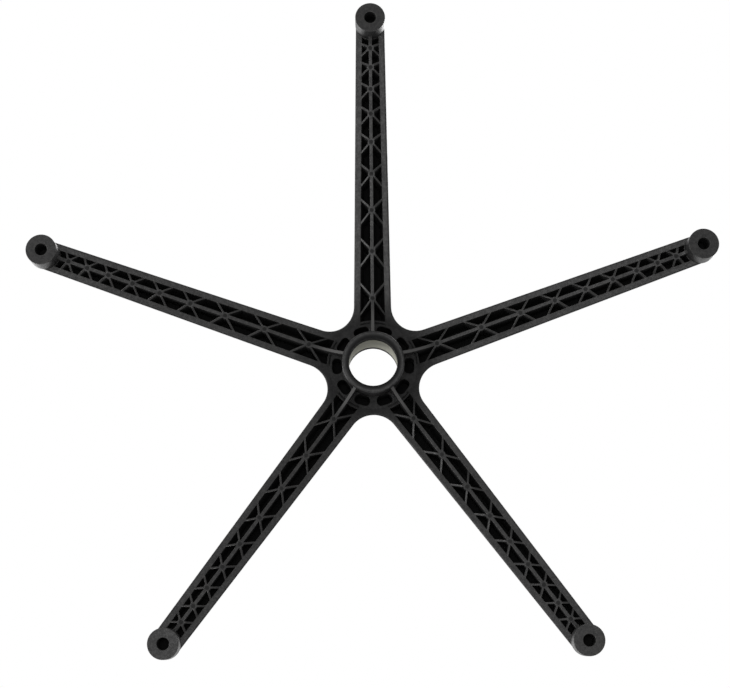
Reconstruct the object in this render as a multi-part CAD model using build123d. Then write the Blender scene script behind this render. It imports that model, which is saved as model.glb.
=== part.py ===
"""Five-star swivel-chair base, a ribbed nylon moulding with a metal taper sleeve in its hub.

The base stands as it does in use: +Z is up, the hub axis is the Z axis, the castor boss
faces lie on z = 0, and one arm points along +Y. Sizes are in millimetres.
"""

from build123d import *
from math import asin, atan2, cos, degrees, hypot, radians, sin, tan
import os

# Star
arm_count = 5
castor_circle_radius = 326.0  # hub axis to each castor socket
arm_end_radius = 14.1  # this and the next two are measured at the height of the rims
arm_half_width_at_axis = 19.2  # the arm sides, carried on to the hub axis
gusset_radius = 25.5  # outline between neighbouring arms
side_draft = 10.0  # lean of the star's sides, in degrees
channel_draft = 6.0  # and of the walls inside the arms
overshoot = 1.0  # how far a cut or a joined piece runs past the face it crosses

# Heights above the boss faces
rim_height_at_socket = 19.4  # lower rims of an arm, at the castor socket
rim_slope = 0.199  # rise of the rims toward the hub, per millimetre
flange_radius = 42.3  # the flat flange round the hub
arm_top_at_socket = 39.0
arm_top_at_hub = 110.0
arm_top_crown = 10.0  # height of the back curve's middle pole above a straight line
hub_bottom = 50.5
hub_height = 72.0
top_edge_radius = 6.5
rim_edge_radius = 1.5

# Castor bosses and sockets
boss_radius = 14.3
boss_height = 21.5
boss_edge_radius = 0.5
castor_stem_diameter = 11.0
castor_stem_clearance = 0.1
castor_socket_depth = 24.0
socket_lead_in = 0.4

# Hub
collar_radius = 30.0
collar_edge_radius = 1.5
hub_top_radius = 32.0
hub_neck_radius = 33.5
hub_neck_fillet = 2.5
hub_top_fillet = 2.5
lower_lip_diameter = 46.6
lower_lip_length = 14.0
upper_lip_diameter = 50.0
upper_lip_length = 10.0
taper_ratio = 20.0  # length for each millimetre that the diameter falls
sleeve_top_diameter = 49.4
sleeve_wall = 2.0

# Pockets round the collar, two to an arm
pocket_outer_radius = 39.8
pocket_start_angle = 5.4  # from the arm's middle
pocket_end_angle = 30.6
pocket_corner_radius = 4.2
pocket_depth = 28.0
end_wall_radius = 44.8  # where the arm channels begin
end_wall_groove_width = 1.8
end_wall_groove_depth = 1.2

# Channels and ribs in the arms
rim_width_at_axis = 6.45
rim_width_at_socket = 6.2
top_wall = 4.0
rib_thickness = 3.0  # the middle rib
rib_drop = 5.0  # how far the middle rib stands below the rims
rib_foot_run = 38.0  # the middle rib curves down to the collar over this length
rib_foot_clearance = 1.5  # between that rib's foot and the collar's lower face
rib_toe_run = 23.0  # and to the castor boss over this length, out to the socket's axis
rib_toe_drop = 7.5
brace_thickness = 1.7  # the crossed ribs
crossing_diameter = 6.5
first_crossing = 24.0  # from the castor socket toward the hub
first_pitch = 18.1
pitch_growth = 1.137  # each cell is longer than the one outside it
brace_reach = 0.29  # half of a brace's length along the arm, as a share of its pitch

# Worked out from the sizes above
hub_top = hub_bottom + hub_height
flange_height = rim_height_at_socket + rim_slope * (castor_circle_radius - flange_radius)
star_reach = castor_circle_radius + boss_radius
inner_part_reach = 0.6 * castor_circle_radius  # a leaning arm is still wide at the hub's top there
pitch_angle = 360.0 / arm_count
clear_height = hub_top - flange_height  # over the rims, higher than the back of any arm
side_slope = tan(radians(side_draft))
channel_slope = tan(radians(channel_draft))
arm_taper = (arm_half_width_at_axis - arm_end_radius) / castor_circle_radius
rim_taper = (rim_width_at_axis - rim_width_at_socket) / castor_circle_radius
outer_part_height = 0.85 * (rim_height_at_socket + arm_end_radius / side_slope)  # short of the tip's point
sleeve_bottom = hub_bottom + lower_lip_length
sleeve_top = hub_top - upper_lip_length
sleeve_length = sleeve_top - sleeve_bottom
sleeve_bottom_diameter = sleeve_top_diameter - sleeve_length / taper_ratio


def rim_height(s):
    """Height of the arm rims at a distance s from the hub axis."""
    return rim_height_at_socket + rim_slope * (castor_circle_radius - s)


def arm_half_width(s):
    return arm_half_width_at_axis - arm_taper * s


def channel_half_width(s):
    return arm_half_width(s) - rim_width_at_axis + rim_taper * s


def channel_wall(s, z):
    """Half width of an arm's channel at a distance s from the hub axis and a height z."""
    return channel_half_width(s) - channel_slope * (z - rim_height(s))


def top_edge(drop):
    """The arm's back in side view, from the hub neck to past the tip, lowered by drop."""
    start = (hub_neck_radius, arm_top_at_hub - drop)
    slope = (arm_top_at_hub - arm_top_at_socket) / (castor_circle_radius - hub_neck_radius)
    end_s = star_reach + overshoot
    end = (end_s, arm_top_at_hub - slope * (end_s - hub_neck_radius) - drop)
    middle = ((start[0] + end[0]) / 2, (start[1] + end[1]) / 2 + arm_top_crown)
    return start, middle, end


def side_face(points_before, back, points_after):
    """A face in the XZ plane, bounded by straight runs and the curve of the arm's back."""
    with BuildSketch(Plane.XZ) as sketch:
        with BuildLine():
            Polyline(*points_before, back[0])
            Bezier(*back)
            Polyline(back[-1], *points_after, points_before[0])
        make_face()
    return sketch.sketch


def turned(face):
    """A face in the XZ plane, turned about the hub axis through one arm's share of the circle."""
    return Rot(0, 0, -pitch_angle / 2) * revolve(face, Axis.Z, pitch_angle)


def outer_envelope():
    """The star's outer form in side view, turned about the hub axis."""
    start, middle, end = top_edge(0)
    face = side_face(
        [(0, hub_top), (hub_top_radius, hub_top)],
        (start, middle, end),
        [(end[0], rim_height(end[0])), (flange_radius, flange_height), (0, flange_height)],
    )
    for (s, z), radius in (((hub_top_radius, hub_top), hub_top_fillet), (start, hub_neck_fillet)):
        corner = face.vertices().sort_by_distance((s, 0, z))[0]
        face = fillet(corner, radius)
    return turned(face)


def under_roof(drop):
    """Everything below the arm's back lowered by drop, turned about the hub axis."""
    start, middle, end = top_edge(drop)
    return turned(side_face([(0, 0), (0, start[1])], (start, middle, end), [(end[0], 0)]))


def arm_outline():
    """Plan of one arm along +X, its leaning sides carried down to z = 0 and tangent to the round tip."""
    root_width = arm_half_width_at_axis + side_slope * rim_height(0)
    tip_radius = arm_end_radius + side_slope * rim_height_at_socket
    lean = asin((root_width - tip_radius) / castor_circle_radius)
    root = Vector(root_width * sin(lean), root_width * cos(lean))
    tip = Vector(castor_circle_radius + tip_radius * sin(lean), tip_radius * cos(lean))
    corners = [(0, 0), (root.X, -root.Y), (tip.X, -tip.Y), (tip.X, tip.Y), (root.X, root.Y)]
    return Polygon(*corners, align=None) + Pos(castor_circle_radius, 0) * Circle(tip_radius)


def around(shape):
    """The shape, built along +X, copied to every arm."""
    return [Rot(0, 0, i * pitch_angle) * shape for i in range(arm_count)]


def leaning_star():
    """The arms, filleted into each other, with sides that lean inward from z = 0 up.

    The arms' tips would come to a point below the top of the hub, so the outer part is lower.
    """
    outline = Sketch() + around(arm_outline())
    near = outline.vertices().sort_by_distance((0, 0, 0))[:arm_count]
    outline = fillet(near, gusset_radius - side_slope * flange_height)
    inner_part = extrude(outline & Circle(inner_part_reach), hub_top, taper=side_draft)
    return inner_part + extrude(arm_outline(), outer_part_height, taper=side_draft)


def section(s, corners):
    """A closed outline across an arm at a distance s from the hub axis, from widths and heights."""
    return Wire.make_polygon([Vector(s, w, z) for w, z in corners], close=True)


def channel_section(s):
    low, high = rim_height(s) - overshoot, rim_height(s) + clear_height
    wide, narrow = channel_wall(s, low), channel_wall(s, high)
    return section(s, [(-narrow, high), (-wide, low), (wide, low), (narrow, high)])


def channel():
    """The open space inside one arm, along +X."""
    ends = [channel_section(end_wall_radius / 2), channel_section(castor_circle_radius)]
    hub = extrude(Circle(end_wall_radius), hub_top)
    boss = Pos(castor_circle_radius, 0) * extrude(Circle(boss_radius), hub_top)
    return (Solid.make_loft(ends, ruled=True) - [hub, boss]) & under_roof(top_wall)


def rib_section(s):
    """Cross-section of the braced space at s: flat under the middle rib, then rising to the rims."""
    half = channel_half_width(s) + overshoot
    flat = crossing_diameter / 2
    rise = rib_drop * (half - flat) / (channel_half_width(s) - flat)
    low, high = rim_height(s) - rib_drop, rim_height(s) + clear_height
    top = channel_wall(s, high) + overshoot
    left = [(-top, high), (-half, low + rise), (-flat, low)]
    return section(s, left + [(-w, z) for w, z in reversed(left)])


def crossings():
    """Distance of each rib crossing from the hub axis, with half its braces' length along the arm."""
    found = []
    s, pitch = castor_circle_radius - first_crossing, first_pitch
    while s - brace_reach * pitch > end_wall_radius:
        found.append((s, brace_reach * pitch))
        s -= pitch
        pitch *= pitch_growth
    return found


def braces():
    """The crossed ribs and their round crossings inside one arm."""
    plan = Sketch()
    for s, half_length in crossings():
        for side in (-1, 1):
            inner, outer = s - half_length, s + half_length
            start = Vector(inner, -side * channel_half_width(inner))
            end = Vector(outer, side * channel_half_width(outer))
            along = (end - start).normalized() * overshoot
            line = Line(start - along, end + along)
            plan += trace(line, brace_thickness)
        plan += Pos(s, 0) * Circle(crossing_diameter / 2)
    space = Solid.make_loft([rib_section(end_wall_radius), rib_section(castor_circle_radius)], ruled=True)
    return extrude(plan, hub_top) & space


def middle_rib():
    """The rib along one arm's middle, with its foot on the collar and its toe on the castor boss."""
    def low(s):
        return rim_height(s) - rib_drop

    collar = collar_radius - overshoot
    foot = hub_bottom + rib_foot_clearance
    foot_start = collar_radius + rib_foot_run
    toe_start = castor_circle_radius - rib_toe_run
    boss = castor_circle_radius - boss_radius + overshoot
    with BuildSketch(Plane.XZ) as sketch:
        with BuildLine():
            edge = Line((foot_start, low(foot_start)), (toe_start, low(toe_start)))
            foot_end = TangentArc(edge @ 0, (collar, foot), tangent=-(edge % 0))
            toe_end = TangentArc(edge @ 1, (boss, low(boss) - rib_toe_drop), tangent=edge % 1)
            Polyline(toe_end @ 1, (boss, hub_top), (collar, hub_top), foot_end @ 1)
        make_face()
    return extrude(sketch.sketch, rib_thickness / 2, both=True)


def pocket(side):
    """Plan of one pocket beside the middle of an arm that lies along +X."""
    a, b = side * pocket_start_angle, side * pocket_end_angle
    middle = (a + b) / 2

    def at(radius, angle):
        return (radius * cos(radians(angle)), radius * sin(radians(angle)))

    with BuildSketch() as sketch:
        with BuildLine():
            ThreePointArc(*[at(collar_radius, angle) for angle in (a, middle, b)])
            Line(at(collar_radius, b), at(pocket_outer_radius, b))
            ThreePointArc(*[at(pocket_outer_radius, angle) for angle in (b, middle, a)])
            Line(at(pocket_outer_radius, a), at(collar_radius, a))
        make_face()
        fillet(sketch.vertices(), pocket_corner_radius)
    return sketch.sketch


def end_wall_groove():
    """The shallow groove along the wall that closes the hub end of one arm's channel."""
    middle = (pocket_outer_radius + end_wall_radius) / 2
    ring = Circle(middle + end_wall_groove_width / 2) - Circle(middle - end_wall_groove_width / 2)
    width = 2 * channel_half_width(middle)
    plan = ring & Pos(middle, 0) * Rectangle(width, width)
    return Pos(0, 0, flange_height) * extrude(plan, end_wall_groove_depth)


def sleeve_cone(extra, beyond=0.0):
    """The taper's cone, grown by extra in radius and run on past both of its ends by beyond."""
    slope = 1 / (2 * taper_ratio)
    low = sleeve_bottom_diameter / 2 + extra - beyond * slope
    high = sleeve_top_diameter / 2 + extra + beyond * slope
    length = sleeve_length + 2 * beyond
    return Pos(0, 0, sleeve_bottom + sleeve_length / 2) * Cone(low, high, length)


def taper_sleeve():
    """The metal lining that the gas column's taper seats in."""
    return sleeve_cone(sleeve_wall) - sleeve_cone(0, overshoot)


def collar():
    """The ring that stands below the flange, one arm's share of it."""
    high, low = flange_height + overshoot, hub_bottom
    face = Plane.XZ * Polygon((0, high), (0, low), (collar_radius, low), (collar_radius, high), align=None)
    corner = face.vertices().sort_by_distance((collar_radius, 0, low))[0]
    return turned(fillet(corner, collar_edge_radius))


def castor_boss():
    boss = extrude(Circle(boss_radius), boss_height)
    return Pos(castor_circle_radius, 0) * fillet(boss.edges().sort_by(Axis.Z)[-1], boss_edge_radius)


def castor_socket():
    radius = (castor_stem_diameter + castor_stem_clearance) / 2
    hole = extrude(Circle(radius), castor_socket_depth)
    mouth = Pos(0, 0, socket_lead_in / 2) * Cone(radius + socket_lead_in, radius, socket_lead_in)
    return Pos(castor_circle_radius, 0) * (hole + mouth)


def side_edges(body, place):
    """The lowest (place 0) or highest (place -1) edge of each leaning side of the arm."""
    found = ShapeList()
    for face in body.faces():
        middle = face.center()
        side = abs(face.normal_at(middle).Z) < 0.5 and hypot(middle.X, middle.Y) > hub_neck_radius
        inside_sector = degrees(abs(atan2(middle.Y, middle.X))) < 0.499 * pitch_angle
        if side and inside_sector:
            runs = ShapeList(e for e in face.edges() if abs((e % 0.5).Z) < 0.9)
            found.append(runs.sort_by(Axis.Z)[place])
    return found


def sector():
    """One arm with its share of the hub, solid at the bore."""
    body = leaning_star() & outer_envelope()
    body = fillet(side_edges(body, -1), top_edge_radius)
    body = fillet(side_edges(body, 0), rim_edge_radius)
    body += [collar(), castor_boss()]
    body -= channel()
    body -= Pos(0, 0, flange_height) * extrude(pocket(1) + pocket(-1), pocket_depth)
    body -= end_wall_groove()
    body += (braces() + middle_rib()) & under_roof(top_wall - overshoot)
    return body - castor_socket()


def star_base():
    """The one-piece moulding."""
    body = Part() + around(sector())
    lower = Pos(0, 0, hub_bottom) * extrude(Circle(lower_lip_diameter / 2), hub_height / 2)
    upper = Pos(0, 0, sleeve_top) * extrude(Circle(upper_lip_diameter / 2), upper_lip_length)
    return Rot(0, 0, 90) * (body - [lower, upper, sleeve_cone(sleeve_wall)])


if __name__ == "__main__":
    os.makedirs("parts", exist_ok=True)
    parts = {"star_base": star_base(), "taper_sleeve": taper_sleeve()}
    for name, shape in parts.items():
        export_step(shape, f"parts/{name}.step")
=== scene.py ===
"""Looks of the five-star chair base: black moulded nylon with a zinc-plated steel taper sleeve.

Lengths are in metres, in the same frame as the solids: +Z up, castor boss faces on z = 0.
"""

import math

import bpy
from mathutils import Matrix, Vector


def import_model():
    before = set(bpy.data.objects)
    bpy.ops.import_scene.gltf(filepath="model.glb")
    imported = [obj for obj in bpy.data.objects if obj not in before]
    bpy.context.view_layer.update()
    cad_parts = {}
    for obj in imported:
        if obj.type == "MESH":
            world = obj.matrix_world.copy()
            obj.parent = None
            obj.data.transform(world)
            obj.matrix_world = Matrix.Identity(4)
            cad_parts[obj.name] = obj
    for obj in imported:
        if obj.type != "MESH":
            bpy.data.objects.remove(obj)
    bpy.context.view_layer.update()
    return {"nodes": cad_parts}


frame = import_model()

# Layout of the moulding that its material follows
ARM_COUNT = 5
CASTOR_CIRCLE = 0.326
SOCKET_RADIUS, SOCKET_DEPTH = 0.0058, 0.0242
RIM_SLOPE = 0.199
RIM_AT_SOCKET = 0.0194  # height of the arm rims at the castor socket
RIM_AT_AXIS = RIM_AT_SOCKET + RIM_SLOPE * CASTOR_CIRCLE
CHANNEL_TAPER = 0.01488
CHANNEL_AT_AXIS = 0.01275  # half width of an arm's channel, carried on to the hub axis
CHANNEL_MARGIN = 0.001  # added to that half width, so that the channel's walls are inside it
CHANNEL_START, CHANNEL_END = 0.0445, 0.3125
CELL_DEPTH = (0.0045, 0.0085)  # the painted shade in the cells deepens between these heights over the rims
POCKET_RADII = (0.0285, 0.0405)
POCKET_HEIGHTS = (0.0775, 0.1045)
BORE_RADIUS = 0.0252
COLLAR_SHADE_RADII = (0.0242, 0.0302)  # painted shade on the collar's face deepens inward between these radii
COLLAR_FACE = 0.0530  # the collar's face lies below this height
HUB_SHADE = (0.040, 0.080)  # the flange darkens inward between these radii
HUB_SHADE_MOST = 0.75
HUB_SHADE_FLOOR = 0.060  # the shade lies above this height
RIB_FOOT = (0.042, 0.064)  # the painted highlight on a middle rib's foot fades out between these radii
RIB_HALF = 0.0013

# Pin marks on the rib crossings, from the castor inward
FIRST_INSET = 0.024
FIRST_CROSSING = CASTOR_CIRCLE - FIRST_INSET
FIRST_PITCH = 0.0181
PITCH_GROWTH = 1.137
CROSSING_LIMIT = 0.055  # the innermost rib crossing lies outside this radius
MARK_EDGE = (0.00184, 0.00208)  # the round edge of a mark lies between these radii

# Limits of the upward part of a surface's normal
FLAT_DOWN = -0.9
DOWN = -0.5
NOT_UP = 0.15
UPRIGHT = 0.5  # the most that a wall may lean, up or down

# The nylon, in linear colours
NYLON_DARK = (0.0045, 0.0044, 0.0046, 1.0)
NYLON_PALE = (0.0270, 0.0264, 0.0260, 1.0)
# Painted highlights: on the edges, and on the feet of the middle ribs
EDGE_HIGHLIGHT = (0.090, 0.088, 0.085, 1.0)
# painted highlight on the feet of the middle ribs
FOOT_HIGHLIGHT = (0.062, 0.061, 0.060, 1.0)
PIN_MARK = (0.0030, 0.0030, 0.0030, 1.0)
DEEP_SHADE = (0.0030, 0.0030, 0.0031, 1.0)
MARK_STRENGTH = 0.85
EDGE_RADIUS = 0.0008
EDGE_TURN = (0.99, 0.86)  # cosines of the turn at which an edge's painted highlight begins and is full
EDGE_HIGHLIGHT_STRENGTH = 0.7
NYLON_ROUGHNESS = 0.47
RECESS_ROUGHNESS = 0.95
GRAIN_STRENGTH, GRAIN_DEPTH = 0.6, 0.00016

# The sleeve, in linear colours
SLEEVE_DARK = (0.165, 0.164, 0.126, 1.0)
SLEEVE_PALE = (0.320, 0.316, 0.250, 1.0)
SLEEVE_ROUGHNESS = 0.62
LINE_STRENGTH, LINE_DEPTH = 0.25, 0.00004

# The floor and the white behind it
FLOOR_DARK = (0.80, 0.80, 0.80, 1.0)
FLOOR_PALE = (0.83, 0.83, 0.83, 1.0)
FLOOR_FADE = (0.6, 1.9)  # the floor fades to white between these distances from its middle
FLOOR_SIZE = 12.0
FLOOR_HEIGHT = -0.0004
WHITE = (1.0, 1.0, 1.0, 1.0)
AMBIENT = 0.5

# Square lamps: name, place, target, side and power in watts
LAMPS = (
    ("over_key", (-1.3, 1.3, 2.2), (0.0, 0.0, 0.0), 2.0, 55.0),
    ("over_fill", (1.8, -0.6, 1.8), (0.0, 0.0, 0.0), 1.6, 35.0),
    ("under_key", (0.10, -0.08, -2.3), (0.0, 0.0, 0.05), 0.6, 15.0),
    ("under_side", (2.0, -0.2, -1.0), (0.0, 0.0, 0.05), 1.0, 32.0),
)

CAMERA_PLACE = (0.0075, -0.2716, -1.5710)
CAMERA_LOOK = (0.0001, 0.1753, 0.9845)
CAMERA_UP = (-0.0087, 1.0, 0.0)
CAMERA_LENS = 85.02  # millimetres, over a frame 36 mm wide
CAMERA_NEAR = 0.05


class Nodes:
    """A node tree with short calls for the maths that the materials share."""

    def __init__(self, tree):
        self.tree = tree
        self.tree.nodes.clear()

    def add(self, kind, inputs=None, **settings):
        """A new node; its inputs are constants or the outputs of other nodes."""
        node = self.tree.nodes.new(kind)
        for name, value in settings.items():
            setattr(node, name, value)
        for name, value in (inputs or {}).items():
            self.link(value, node.inputs[name])
        return node

    def link(self, source, target):
        if isinstance(source, (int, float, tuple)):
            target.default_value = source
        else:
            self.tree.links.new(source, target)

    def place(self):
        return self.add("ShaderNodeTexCoord").outputs["Object"]

    def split(self, vector):
        return tuple(self.add("ShaderNodeSeparateXYZ", {0: vector}).outputs)

    def measure(self, operation, *vectors):
        node = self.add("ShaderNodeVectorMath", dict(enumerate(vectors)), operation=operation)
        return node.outputs["Value"]

    def math(self, operation, *values):
        node = self.add("ShaderNodeMath", dict(enumerate(values)), operation=operation)
        return node.outputs[0]

    def times(self, first, *others):
        for other in others:
            first = self.math("MULTIPLY", first, other)
        return first

    def most(self, first, *others):
        for other in others:
            first = self.math("MAXIMUM", first, other)
        return first

    def total(self, *shares, start=0.0):
        """The start value plus each value times its share."""
        for value, share in shares:
            start = self.math("MULTIPLY_ADD", value, share, start)
        return start

    def length(self, x, y):
        return self.math("SQRT", self.math("ADD", self.times(x, x), self.times(y, y)))

    def below(self, value, limit):
        return self.math("LESS_THAN", value, limit)

    def above(self, value, limit):
        return self.math("GREATER_THAN", value, limit)

    def between(self, value, low, high):
        return self.times(self.above(value, low), self.below(value, high))

    def ramp(self, value, low, high, start=0.0, end=1.0):
        """A smooth step from start, where the value is low, to end, where it is high."""
        inputs = {"Value": value, "From Min": low, "From Max": high, "To Min": start, "To Max": end}
        node = self.add("ShaderNodeMapRange", inputs, interpolation_type="SMOOTHSTEP")
        return node.outputs["Result"]

    def noise(self, place, scale, detail, roughness=0.5):
        inputs = {"Vector": place, "Scale": scale, "Detail": detail, "Roughness": roughness}
        return self.add("ShaderNodeTexNoise", inputs).outputs["Fac"]

    def mix(self, factor, first, second):
        """One colour over another."""
        node = self.add("ShaderNodeMix", {"Factor": factor}, data_type="RGBA")
        sockets = [socket for socket in node.inputs if socket.type == "RGBA"]
        for socket, colour in zip(sockets, (first, second)):
            self.link(colour, socket)
        return next(socket for socket in node.outputs if socket.type == "RGBA")

    def bump(self, height, strength, depth, normal=None):
        node = self.add("ShaderNodeBump", {"Height": height, "Strength": strength, "Distance": depth})
        if normal is not None:
            self.link(normal, node.inputs["Normal"])
        return node.outputs["Normal"]

    def blend(self, factor, first, second):
        """One shader over another."""
        return self.add("ShaderNodeMixShader", {0: factor, 1: first, 2: second}).outputs[0]

    def surface(self, shader, kind="ShaderNodeOutputMaterial"):
        self.add(kind, {"Surface": shader})

    def principled(self, colour, roughness, normal, constants):
        inputs = {"Base Color": colour, "Roughness": roughness, "Normal": normal}
        self.surface(self.add("ShaderNodeBsdfPrincipled", constants | inputs).outputs[0])


def new_material(name):
    material = bpy.data.materials.new(name)
    material.use_nodes = True
    return material, Nodes(material.node_tree)


class StarPoint:
    """Where a point of the star lies, along and across its nearest arm, and how it faces."""

    def __init__(self, n):
        self.place = n.place()
        self.normal = n.add("ShaderNodeNewGeometry").outputs["Normal"]
        x, y, self.height = n.split(self.place)
        self.radius = n.length(x, y)
        turn = n.total((n.math("ARCTAN2", x, y), ARM_COUNT / math.tau), start=0.5)
        part = n.math("SUBTRACT", n.math("FLOORED_MODULO", turn, 1.0), 0.5)
        angle = n.times(part, math.tau / ARM_COUNT)
        self.along = n.times(self.radius, n.math("COSINE", angle))
        self.across = n.times(self.radius, n.math("SINE", angle))
        self.sideways = n.math("ABSOLUTE", self.across)
        self.upward = n.split(self.normal)[2]
        self.down = n.below(self.upward, DOWN)
        self.upright = n.below(n.math("ABSOLUTE", self.upward), UPRIGHT)


def pin_marks(n, at):
    """1 on the round pin marks at the rib crossings, whose pitch grows toward the hub."""
    growth = PITCH_GROWTH - 1
    travelled = n.math("SUBTRACT", FIRST_CROSSING, at.along)
    grown = n.total((travelled, growth / FIRST_PITCH), start=1.0)
    steps = n.math("ROUND", n.math("LOGARITHM", grown, PITCH_GROWTH))
    reached = n.math("SUBTRACT", n.math("POWER", PITCH_GROWTH, n.most(steps, 0.0)), 1.0)
    off = n.math("SUBTRACT", travelled, n.times(reached, FIRST_PITCH / growth))
    disc = n.ramp(n.length(off, at.across), *MARK_EDGE, 1.0, 0.0)
    return n.times(disc, n.above(at.along, CROSSING_LIMIT), n.below(at.upward, FLAT_DOWN))


def hollow_shade(n, at):
    """1 on the walls and floors of the cells, the pockets, the bore's lips and the castor sockets,
    where shade is painted in.
    """
    rim = n.total((at.along, -RIM_SLOPE), start=RIM_AT_AXIS)
    depth = n.ramp(n.math("SUBTRACT", at.height, rim), *CELL_DEPTH)
    half = n.total((at.along, -CHANNEL_TAPER), start=CHANNEL_AT_AXIS + CHANNEL_MARGIN)
    channel = n.times(n.below(at.sideways, half), n.between(at.along, CHANNEL_START, CHANNEL_END))
    cell = n.times(n.most(depth, at.upright), channel)
    pocket = n.times(n.between(at.radius, *POCKET_RADII), n.between(at.height, *POCKET_HEIGHTS))
    hidden = n.times(n.most(cell, pocket), n.below(at.upward, NOT_UP))
    lip = n.times(n.below(at.radius, BORE_RADIUS), at.upright)
    from_socket = n.length(n.math("SUBTRACT", at.along, CASTOR_CIRCLE), at.across)
    socket = n.times(n.below(from_socket, SOCKET_RADIUS), n.below(at.height, SOCKET_DEPTH))
    return n.most(lip, socket, hidden)


def hub_shade(n, at):
    """The flange round the collar, which is darker toward the middle."""
    shade = n.ramp(at.radius, *HUB_SHADE, HUB_SHADE_MOST, 0.0)
    return n.times(shade, n.above(at.height, HUB_SHADE_FLOOR), at.down)


def painted_collar_shade(n, at):
    """The collar's face, with painted shade that deepens toward the bore."""
    return n.times(n.ramp(at.radius, *COLLAR_SHADE_RADII, 1.0, 0.0), n.below(at.height, COLLAR_FACE))


def painted_foot_highlight(n, at):
    """The foot of each middle rib, next to the collar, where a highlight is painted."""
    foot = n.ramp(at.along, *RIB_FOOT, 1.0, 0.0)
    outside = n.above(at.radius, COLLAR_SHADE_RADII[1])
    return n.times(foot, n.below(at.sideways, RIB_HALF), at.down, outside)


def nylon():
    """Black glass-filled nylon: dull and finely grained, with highlights painted on its edges and rib
    feet, and shade painted in its hollows, on the collar's face and round the hub.
    """
    material, n = new_material("moulded_nylon")
    at = StarPoint(n)
    rounded = n.add("ShaderNodeBevel", {"Radius": EDGE_RADIUS}, samples=4).outputs["Normal"]
    # where the edges turn, a highlight is painted
    edge = n.ramp(n.measure("DOT_PRODUCT", rounded, at.normal), *EDGE_TURN)
    marks = pin_marks(n, at)
    # painted shade in the cells, pockets, bore lips and castor sockets
    hollow_shade_mask = hollow_shade(n, at)
    shade = hub_shade(n, at)
    # painted shade on the collar's face, deepest at the bore
    collar_shade = painted_collar_shade(n, at)

    clouds = n.ramp(n.noise(at.place, scale=22.0, detail=3.0, roughness=0.55), 0.30, 0.70)
    mottle = n.ramp(n.noise(at.place, scale=300.0, detail=3.0, roughness=0.60), 0.40, 0.62)
    specks = n.ramp(n.noise(at.place, scale=800.0, detail=1.0), 0.42, 0.66)
    tone = n.total((clouds, 0.25), (mottle, 0.45), (specks, 0.35))

    colour = n.mix(tone, NYLON_DARK, NYLON_PALE)
    # Painted highlights on edges and rib feet, painted shade round the hub, in the hollows and on the
    # collar's face
    layers = (
        (n.times(edge, EDGE_HIGHLIGHT_STRENGTH), EDGE_HIGHLIGHT),
        (shade, DEEP_SHADE),
        (painted_foot_highlight(n, at), FOOT_HIGHLIGHT),
        (n.times(marks, MARK_STRENGTH), PIN_MARK),
        (hollow_shade_mask, DEEP_SHADE),
        (collar_shade, DEEP_SHADE),
    )
    for mask, paint in layers:
        colour = n.mix(mask, colour, paint)

    shares = ((tone, -0.14), (edge, -0.06), (marks, 0.34), (shade, 0.35))
    rough = n.total(*shares, start=NYLON_ROUGHNESS)
    rough = n.most(rough, n.times(n.most(hollow_shade_mask, collar_shade), RECESS_ROUGHNESS))

    fine = n.noise(at.place, scale=1500.0, detail=3.0, roughness=0.65)
    coarse = n.noise(at.place, scale=320.0, detail=2.0)
    grain = n.total((fine, 1.0), (coarse, 0.8))
    normal = n.bump(grain, GRAIN_STRENGTH, GRAIN_DEPTH, rounded)
    n.principled(colour, rough, normal, {"IOR": 1.5, "Specular IOR Level": 0.22})
    return material


def sleeve_metal():
    """Zinc-plated steel with faint turning lines round the bore."""
    material, n = new_material("plated_steel")
    place = n.place()
    turning = {"W": n.split(place)[2], "Scale": 1800.0, "Detail": 3.0}
    lines = n.add("ShaderNodeTexNoise", turning, noise_dimensions="1D").outputs["Fac"]
    clouds = n.noise(place, scale=70.0, detail=4.0, roughness=0.6)
    patina = n.total((n.ramp(clouds, 0.3, 0.7), 0.7), (n.ramp(lines, 0.3, 0.7), 0.3))
    colour = n.mix(patina, SLEEVE_DARK, SLEEVE_PALE)
    rough = n.total((patina, 0.12), start=SLEEVE_ROUGHNESS)
    n.principled(colour, rough, n.bump(lines, LINE_STRENGTH, LINE_DEPTH), {"Metallic": 0.6})
    return material


def dress(node_name, material):
    node = frame["nodes"][node_name]
    node.data.materials.clear()
    node.data.materials.append(material)


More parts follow.
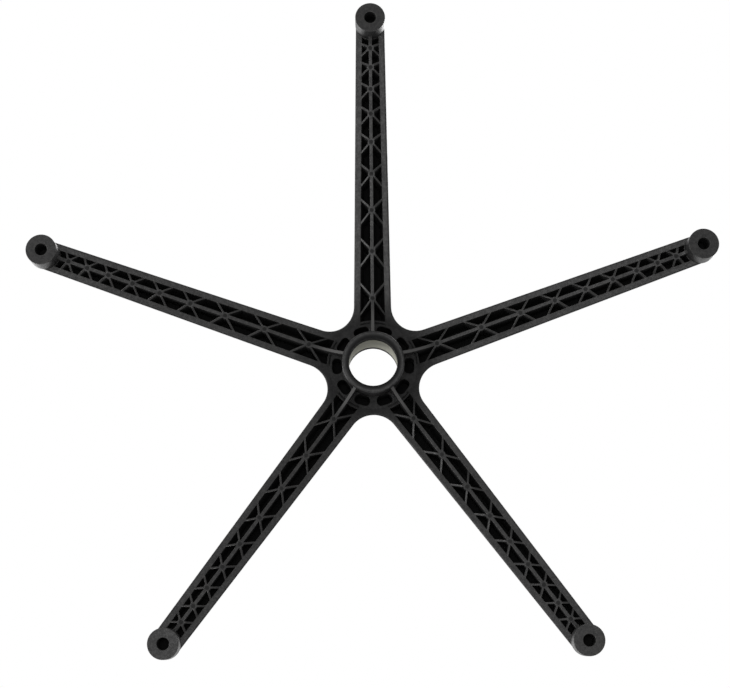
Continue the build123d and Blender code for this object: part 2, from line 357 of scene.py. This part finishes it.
def floor():
    """A pale floor that the camera sees only from above, and that stops no light from below."""
    material, n = new_material("pale_floor")
    place = n.place()
    pale = n.mix(n.noise(place, scale=30.0, detail=3.0), FLOOR_DARK, FLOOR_PALE)
    diffuse = n.add("ShaderNodeBsdfDiffuse", {"Color": pale}).outputs[0]
    glow = n.add("ShaderNodeEmission").outputs[0]
    clear = n.add("ShaderNodeBsdfTransparent").outputs[0]
    fade = n.ramp(n.measure("LENGTH", place), *FLOOR_FADE)
    above = n.math("SUBTRACT", 1.0, n.add("ShaderNodeNewGeometry").outputs["Backfacing"])
    shown = n.times(n.add("ShaderNodeLightPath").outputs["Is Camera Ray"], above)
    n.surface(n.blend(shown, clear, n.blend(fade, diffuse, glow)))
    bpy.ops.mesh.primitive_plane_add(size=FLOOR_SIZE, location=(0.0, 0.0, FLOOR_HEIGHT))
    plane = bpy.context.object
    plane.name = "floor"
    plane.data.materials.append(material)


def world():
    """Even light from all round, with a white background behind it."""
    studio = bpy.data.worlds.new("studio")
    bpy.context.scene.world = studio
    studio.use_nodes = True
    n = Nodes(studio.node_tree)
    rays = n.add("ShaderNodeLightPath").outputs
    seen = n.most(rays["Is Camera Ray"], rays["Is Glossy Ray"], rays["Is Transmission Ray"])
    strength = n.total((seen, 1.0 - AMBIENT), start=AMBIENT)
    background = n.add("ShaderNodeBackground", {"Color": WHITE, "Strength": strength})
    n.surface(background.outputs[0], "ShaderNodeOutputWorld")


def softbox(name, place, target, side, power):
    light = bpy.data.lights.new(name, "AREA")
    light.shape = "SQUARE"
    light.size = side
    light.energy = power
    lamp = bpy.data.objects.new(name, light)
    lamp.location = place
    lamp.rotation_mode = "QUATERNION"
    lamp.rotation_quaternion = (Vector(target) - Vector(place)).to_track_quat("-Z", "Y")
    bpy.context.collection.objects.link(lamp)


def camera():
    """The photograph's view: from below the base, a little toward -Y."""
    look = Vector(CAMERA_LOOK).normalized()
    right = look.cross(Vector(CAMERA_UP)).normalized()
    up = right.cross(look)
    data = bpy.data.cameras.new("camera")
    data.lens = CAMERA_LENS
    data.clip_start = CAMERA_NEAR
    shot = bpy.data.objects.new("camera", data)
    turned = Matrix((right, up, -look)).transposed().to_4x4()
    shot.matrix_world = Matrix.Translation(CAMERA_PLACE) @ turned
    bpy.context.collection.objects.link(shot)
    bpy.context.scene.camera = shot


bpy.context.scene.view_settings.view_transform = "Standard"
dress("star_base", nylon())
dress("taper_sleeve", sleeve_metal())
floor()
world()
for lamp in LAMPS:
    softbox(*lamp)
camera()
